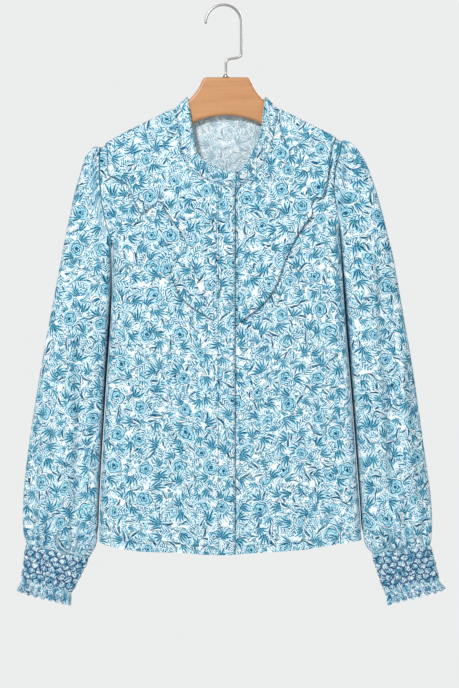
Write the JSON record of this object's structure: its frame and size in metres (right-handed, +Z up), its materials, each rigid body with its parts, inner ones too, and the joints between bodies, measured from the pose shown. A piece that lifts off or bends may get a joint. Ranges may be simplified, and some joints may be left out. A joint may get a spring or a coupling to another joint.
{
  "type": "blouse on coat hanger",
  "caption": "Long-sleeved blouse with a stand collar, wavy shoulder flounces, a hidden front closing and smocked cuffs, hanging on a flat wooden hanger.",
  "frame": {"origin": "inside top of the hanger's hook, where a rail carries it", "axes": "+X towards the wearer's left, +Y from the front to the back, +Z up"},
  "size_m": [0.6227, 0.0536, 0.8716],
  "materials": {
    "printed_cloth": "soft matt cloth, blue flower print on white",
    "smocked_cloth": "the same cloth, smocked with dark blue thread",
    "button": "pearly",
    "hanger_wood": "satin lacquer on light beech",
    "hook_wire": "nickel plated"
  },
  "bodies": {
    "root": {"front_right": "printed_cloth", "front_left": "printed_cloth", "back": "printed_cloth", "placket": "printed_cloth", "collar_stand": "printed_cloth", "flounce_right": "printed_cloth", "flounce_left": "printed_cloth", "sleeve_right": "printed_cloth", "sleeve_left": "printed_cloth", "cuff_right": "smocked_cloth", "cuff_left": "smocked_cloth", "collar_button": "button", "hanger_board": "hanger_wood", "hanger_hook": "hook_wire"}
  },
  "joints": []
}
